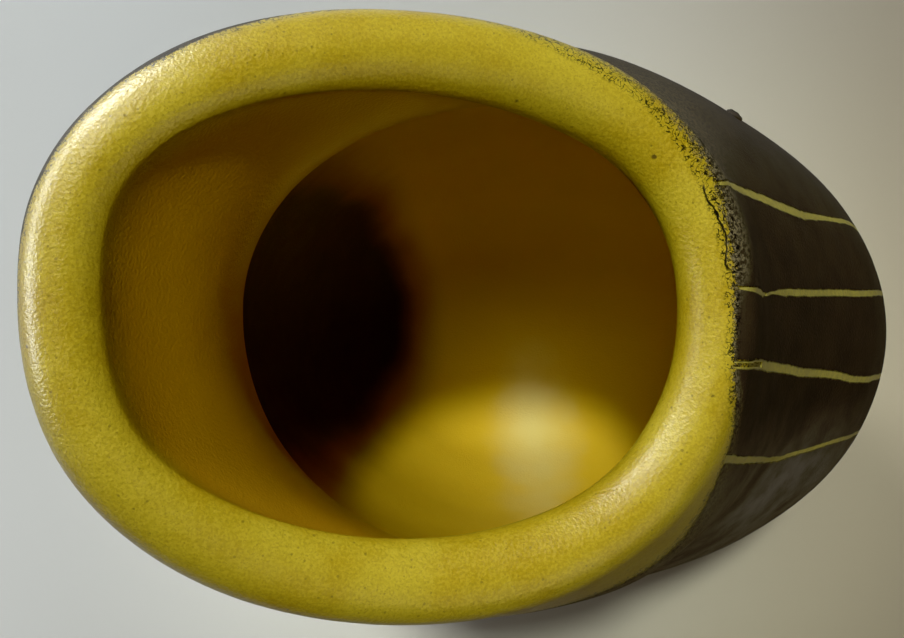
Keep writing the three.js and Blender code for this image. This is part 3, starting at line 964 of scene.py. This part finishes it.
def yellow_colour(place):
    """Cloudy yellow with lemon grain, olive flecks, iron grit and a few dark pinholes."""
    lemon = soft_step(grain(place, LEMON_GRAIN, 2.0, 0.6), 0.35, 0.65)
    olive = soft_step(grain(place, OLIVE_GRAIN, 1.0), 0.56, 0.68)
    return layers(mix_colour(cloudy(place, YELLOW_CLOUDS), OCHRE, YELLOW),
                  (lemon, 0.25, LEMON), (olive, 0.45, OLIVE),
                  (dots_of(place, IRON_GRIT, 0.22, 0.18), 0.5, IRON),
                  (dots_of(place, PINHOLES, 0.07, 0.1), 0.9, IRON))


print("iron grit sits in cells of", round(1000 / IRON_GRIT, 2), "mm")

# %% [markdown]
# ## Colour of the dark glaze
# Brown-black, matt and brushed. A pale veil with black worm-like marks lies over it below the widely
# mingled border, and a greyish painted sheen lies on its front side. Both could be painted as
# pictures, but masks from noise and from the kept values follow the form at every size.

# %% Colour of the dark glaze
DARK_CLOUDS, BARK_GRAIN, VEIL_GRAIN, WORM_GRAIN = 150.0, 2600.0, 1900.0, 1700.0
# painted sheen: the dark glaze turns greyer between these two offsets towards the front
SHEEN_FROM, SHEEN_TO = -0.010, -0.030


def dark_colour(place, haze):
    """Sooty brown with bark grain, a painted sheen on the front, and a veil with black marks where
    haze is.
    """
    clouds = cloudy(place, DARK_CLOUDS)
    bark = soft_step(grain(place, BARK_GRAIN, 2.0, 0.6), 0.4, 0.65)
    veil = times(soft_step(grain(place, VEIL_GRAIN, 3.0, 0.7), 0.43, 0.57), haze)
    # painted sheen, greyer towards the front
    front_sheen = times(soft_step(axis(place, 1), SHEEN_FROM, SHEEN_TO), plus(clouds, 0.6))
    worms = times(ridge_lines(place, WORM_GRAIN, 0.05, 0.02), haze)
    return layers(mix_colour(times(clouds, 0.6), SOOT, BARK), (bark, 0.45, BARK),
                  (veil, 0.9, ASH), (front_sheen, 0.55, SHEEN_GREY), (worms, 0.7, INK))


print("the dust starts", -SHEEN_FROM / MM, "mm towards the front and is full at", -SHEEN_TO / MM, "mm")

# %% [markdown]
# ## Deep inside the vase
# Poured glaze differs from place to place. Below the lip it ran thin and turned amber, and further
# down it is honey. Two soft ovals are painted light and shade: a painted highlight in pale cream on
# the bottom, and painted shade low on the left, under the overhanging wall, that colours the throat
# black. Both ovals are made by measuring a distance in stretched coordinates, with some noise to make
# their outlines uneven.

# %% Painted shade in the throat, and a painted highlight on the bottom
# painted shade: a black oval low on the left of the throat, under the overhanging wall
SHADE_STRETCH, SHADE_MIDDLE, SHADE_UNEVEN = (1, 0.72, 0.2), (-0.054, 0.003, 0.01), (40.0, 0.008)
SHADE_EDGE, SHADE_CORE, SHADE_TOP, SHADE_FULL = 0.037, 0.022, 0.122, 0.112
# painted highlight: a pale cream oval on the bottom, in place of the gloss of the light above
HIGHLIGHT_STRETCH, HIGHLIGHT_MIDDLE, HIGHLIGHT_UNEVEN = (1, 0.45, 0), (0, -0.0108, 0), (110.0, 0.009)
HIGHLIGHT_EDGE, HIGHLIGHT_CORE = 0.019, 0.004


def from_oval(place, stretch, middle, uneven):
    """How far a point lies from the middle of an oval, with some unevenness."""
    stretched = maths("MULTIPLY", place, stretch, "VectorMath")
    distance = maths("DISTANCE", stretched, middle, "VectorMath")
    scale, height = uneven
    return plus(distance, times(grain(place, scale), height))


# painted shade under the overhanging wall, strongest in the middle of its oval and below its top
def painted_throat_shade(place):
    reach = from_oval(place, SHADE_STRETCH, SHADE_MIDDLE, SHADE_UNEVEN)
    return times(soft_step(reach, SHADE_EDGE, SHADE_CORE), soft_step(axis(place, 2), SHADE_TOP, SHADE_FULL))


# painted highlight on the bottom, strongest in the middle of its oval
def painted_floor_highlight(place):
    reach = from_oval(place, HIGHLIGHT_STRETCH, HIGHLIGHT_MIDDLE, HIGHLIGHT_UNEVEN)
    return soft_step(reach, HIGHLIGHT_EDGE, HIGHLIGHT_CORE)


def inside_colour(place, climb, colour):
    """The yellow glaze's changes from the lip to the bottom, and a painted highlight on it. Climbs
    count from the rim.
    """
    # painted highlight: the bottom is paler in a soft oval
    floor_highlight = times(painted_floor_highlight(place), soft_step(climb, 90.0, 140.0))
    return layers(colour, (soft_step(climb, 13.0, 24.0), 0.85, AMBER),
                  (soft_step(climb, 40.0, 70.0), 0.9, HONEY), (floor_highlight, 0.48, HIGHLIGHT_CREAM))


# the top of the painted shade in the throat
print("the lee ends", SHADE_TOP / MM, "mm above the table")

# %% [markdown]
# ## The two glazes
# Both coats get the same nodes, because either glaze shows through near the border. They differ only
# in their skin and their sheen: the yellow one is satin, the dark one nearly matt.

# %% Glaze material
SATIN, MATT = 0.3, 0.55
ROUGH_GRAIN = 260.0


def new_material(name):
    material = bpy.data.materials.new(name)
    material.use_nodes = True
    tree = material.node_tree
    shader = tree.nodes["Principled BSDF"]
    return material, shader, put(tree, "TexCoord").outputs["Object"]


def kept_values(place, name):
    """Two values that a UV map keeps."""
    kept = put(place.id_data, "UVMap", {"uv_map": name}).outputs[0]
    return axis(kept, 0), axis(kept, 1)


def bump(height, strength, distance):
    return put(height.id_data, "Bump", Height=height, Strength=strength, Distance=distance).outputs[0]


def glaze_roughness(place, climb, yellow):
    """Satin or matt, uneven, rougher below the rim outside and deep inside."""
    rough = soft_step(yellow, 0.0, 1.0, MATT, SATIN)
    rough = plus(rough, times(grain(place, ROUGH_GRAIN), 0.12))
    rough = plus(rough, soft_step(climb, 3.0, -1.0, 0.0, 0.2))
    return plus(rough, soft_step(climb, 60.0, 130.0, 0.0, 0.22))


def glaze_material(name, peel, waves, specular):
    """Either glaze, with the other one showing beyond the border."""
    material, shader, place = new_material(name)
    past, width = kept_values(place, "glaze_border")
    turn, climb = kept_values(place, "crack_place")
    yellow, crawl, haze = use_group(mingled, Place=place, Past=past, Width=width)
    colour = mix_colour(yellow, dark_colour(place, haze), yellow_colour(place))
    split = use_group(crack, Place=place, Turn=turn, Climb=climb)[0]
    # painted shade: low on the left, the throat is coloured almost black
    throat_shade = times(painted_throat_shade(place), soft_step(climb, 20.0, 24.0))
    colour = layers(inside_colour(place, climb, colour), (crawl, 1.0, INK), (split, 1.0, INK),
                    (throat_shade, 0.99, INK))
    height = plus(use_group(skin, Place=place, Peel=peel, Waves=waves)[0], times(yellow, 0.5))
    height = minus(height, times(split, 1.5))
    set_inputs(shader, Base_Color=colour, Roughness=glaze_roughness(place, climb, yellow),
               Normal=bump(height, 0.5, 0.2 * MM), Specular_IOR_Level=specular)
    print(name, "has", len(material.node_tree.nodes), "nodes")
    return material


yellow_glaze = glaze_material("poured_yellow_glaze", 0.9, 1.0, 0.8)
dark_glaze = glaze_material("brushed_dark_glaze", 1.1, 0.7, 0.32)

# %% [markdown]
# ## Line glaze and clay
# The filling of the lines is a pale straw yellow, darker towards its ragged edges: painted shade of
# the groove walls, and dark glaze on its rims. The clay only shows at the foot: buff earthenware with
# sand in it, matt and slightly rough.

# %% Line glaze
STRAW_CLOUDS, LINE_GRIT, RAGGED_LINE = 900.0, 1700.0, 2300.0
line_glaze, shader, place = new_material("straw_line_glaze")
from_middle = maths("ABSOLUTE", kept_values(place, "line_place")[0])
# painted shade of the groove walls, and dark glaze on the rims: the filling darkens towards its edges
edge = soft_step(plus(from_middle, times(grain(place, RAGGED_LINE), 0.5)), 0.9, 1.2)
clouds = cloudy(place, STRAW_CLOUDS)
colour = layers(mix_colour(clouds, DIRTY_STRAW, STRAW),
                (dots_of(place, LINE_GRIT, 0.3, 0.2), 0.5, IRON), (edge, 0.9, SOOT))
height = use_group(skin, Place=place, Peel=0.8, Waves=0.2)[0]
set_inputs(shader, Base_Color=colour, Roughness=plus(times(clouds, 0.1), 0.5),
           Normal=bump(height, 0.5, 0.2 * MM))
print(line_glaze.name, "has", len(line_glaze.node_tree.nodes), "nodes")

# %% Clay
CLAY_CLOUDS, SAND_GRAINS, CLAY_GRAIN = 140.0, 1100.0, 1600.0
clay, shader, place = new_material("buff_clay")
clouds = cloudy(place, CLAY_CLOUDS)
sand = dots_of(place, SAND_GRAINS, 0.4, 0.24)
colour = layers(mix_colour(clouds, BUFF, PALE_BUFF), (sand, 0.6, BROWN_SAND))
set_inputs(shader, Base_Color=colour, Roughness=plus(times(clouds, 0.1), 0.82),
           Normal=bump(grain(place, CLAY_GRAIN, 3.0, 0.6), 0.6, 0.3 * MM))
print(clay.name, "has", len(clay.node_tree.nodes), "nodes")

# %% [markdown]
# ## Putting the finishes on
# Each piece gets its material, names the frame's nodes that it stands for, and rides on the frame's
# only body. The wall and the lip roll of the frame stay as they are, hidden between the coats, and
# only get the clay.

# %% Give each piece its finish, and let it ride on the frame
def dress(piece, material, slot, *stands_for):
    piece.data.materials.clear()
    piece.data.materials.append(material)
    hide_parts(*stands_for)
    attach(piece, "root")
    print(piece.name, "stands for", ", ".join(stands_for))


dress(yellow_coat, yellow_glaze, "yellow_glaze", "liner_glaze")
dress(dark_coat, dark_glaze, "dark_glaze", "outer_glaze")
dress(bead, dark_glaze, "dark_glaze", "outer_glaze")
dress(foot_dish, clay, "clay", "base_dish")
for number, filling in enumerate(fillings, 1):
    dress(filling, line_glaze, "line_glaze", f"scratch_line_{number}")
for node in ("wall_shell", "lip_roll"):
    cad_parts[node].data.materials.clear()
    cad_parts[node].data.materials.append(clay)

# %% [markdown]
# ## Table
# The vase stands on a plain pale table. Its paint holds painted light and shade: paler towards the
# front, and warmer and darker away from the window. That could be left to the light alone, but the
# real fall-off comes from a whole room, so the paint helps.

# %% Table
TABLE_SIZE = 4
TABLE_CLOUDS = 6.0
PALE, PALER = screen_colour(193, 192, 187), screen_colour(199, 198, 193)
# lit and shaded tones of the paint: painted light at the front, painted shade away from the window
LIT_PALE, SHADED_WARM = screen_colour(216, 215, 209), screen_colour(151, 140, 117)
bpy.ops.mesh.primitive_plane_add(size=TABLE_SIZE)
table = name_new("table")
table_paint, shader, place = new_material("pale_table")
# painted light towards the front, and painted shade, warmer and darker, away from the window
lit_front = soft_step(axis(place, 1), 0.1, -0.1)
away = soft_step(minus(axis(place, 0), times(axis(place, 1), 0.35)), -0.16, 0.13)
colour = layers(mix_colour(cloudy(place, TABLE_CLOUDS), PALE, PALER),
                (lit_front, 1.0, LIT_PALE), (away, 1.0, SHADED_WARM))
set_inputs(shader, Base_Color=colour, Roughness=0.8, Specular_IOR_Level=0.1)
table.data.materials.append(table_paint)
print("table of", TABLE_SIZE, "by", TABLE_SIZE, "m")

# %% [markdown]
# ## Light
# Soft window light falls from the upper left, and the room behind the camera is dim and warm. On a
# satin lip, light does two jobs: it brings out the colour, and it makes the sheen. The sheen of the
# real vase lies far out on the near side of the lip and far in on the other, which takes a low, wide
# window, while the colours want a high one. So one set of lamps is left out of the gloss, and the
# other is seen only there.

# %% Lamps
def aim(lamp, place, target):
    """Puts a lamp at a place, turned towards a target, and links it."""
    lamp.location = place
    lamp.rotation_euler = (Vector(target) - Vector(place)).to_track_quat("-Z", "Y").to_euler()
    bpy.context.scene.collection.objects.link(lamp)


def way_to(azimuth, elevation):
    a, e = math.radians(azimuth), math.radians(elevation)
    return Vector((math.cos(a) * math.cos(e), math.sin(a) * math.cos(e), math.sin(e)))


def window_light(name, azimuth, elevation, distance, width, height, power, colour):
    """A window of a width and height in metres, in a direction from the vase."""
    light = bpy.data.lights.new(name, "AREA")
    light.shape, light.size, light.size_y = "RECTANGLE", width, height
    light.energy, light.color = power, colour
    middle = Vector((0, 0, 0.15))
    lamp = bpy.data.objects.new(name, light)
    aim(lamp, middle + way_to(azimuth, elevation) * distance, middle)
    return lamp


# name, azimuth, elevation, distance, width, height, power, colour
DAYLIGHT, SKYLIGHT, LAMPLIGHT = (0.93, 0.98, 1.0), (0.9, 0.96, 1.0), (1.0, 0.76, 0.5)
FOR_COLOUR = [("high_window", 111, 64, 1.5, 0.45, 0.45, 5.3, DAYLIGHT),
              ("low_window", 123, 33, 1.0, 0.2, 0.2, 9.5, SKYLIGHT),
              ("overhead", 135, 78, 1.5, 0.35, 0.35, 3.2, DAYLIGHT)]
FOR_GLOSS = [("gloss_low", 127, 12, 1.0, 0.35, 0.3, 8.5, DAYLIGHT),
             ("gloss_wide", 168, 14, 1.0, 0.9, 0.25, 9.5, DAYLIGHT),
             ("gloss_high", 120, 48, 1.0, 0.35, 0.35, 2.6, DAYLIGHT)]
for settings in FOR_COLOUR:
    window_light(*settings).visible_glossy = False
window_light("room", -40, 36, 3, 1.8, 1.8, 8, LAMPLIGHT)
for settings in FOR_GLOSS:
    window_light(*settings).visible_diffuse = False
print(len(FOR_COLOUR), "lamps for the colours,", len(FOR_GLOSS), "for the gloss, and the room")

# %% Light that falls into the mouth
BEAM_TARGET, BEAM_DISTANCE = Vector((0.018, -0.018, 0.06)), 1.4
beam = bpy.data.lights.new("beam_in_mouth", "SPOT")
beam.energy, beam.color = 240, (0.92, 1.0, 0.96)
beam.spot_size, beam.spot_blend, beam.shadow_soft_size = math.radians(6.4), 1.0, 0.1
spot = bpy.data.objects.new("beam_in_mouth", beam)
spot.visible_glossy = False
aim(spot, BEAM_TARGET + way_to(110, 73) * BEAM_DISTANCE, BEAM_TARGET)
print("beam is", round(2 * BEAM_DISTANCE * math.tan(beam.spot_size / 2) / MM), "mm wide at the bottom")

# %% Dim room all round, and the photo's hard contrast, which sinks the throat into black
CONTRAST = ((0.006, 0.001), (0.03, 0.028), (0.3, 0.3))
world = bpy.data.worlds.new("room")
bpy.context.scene.world = world
world.use_nodes = True
world.node_tree.nodes["Background"].inputs["Color"].default_value = (0.9, 0.9, 0.86, 1)
world.node_tree.nodes["Background"].inputs["Strength"].default_value = 0.02
view = bpy.context.scene.view_settings
view.view_transform = "Standard"
view.use_curve_mapping = True
for dark_in, dark_out in CONTRAST:
    view.curve_mapping.curves[3].points.new(dark_in, dark_out)
view.curve_mapping.update()
print("contrast curve of", len(view.curve_mapping.curves[3].points), "points")
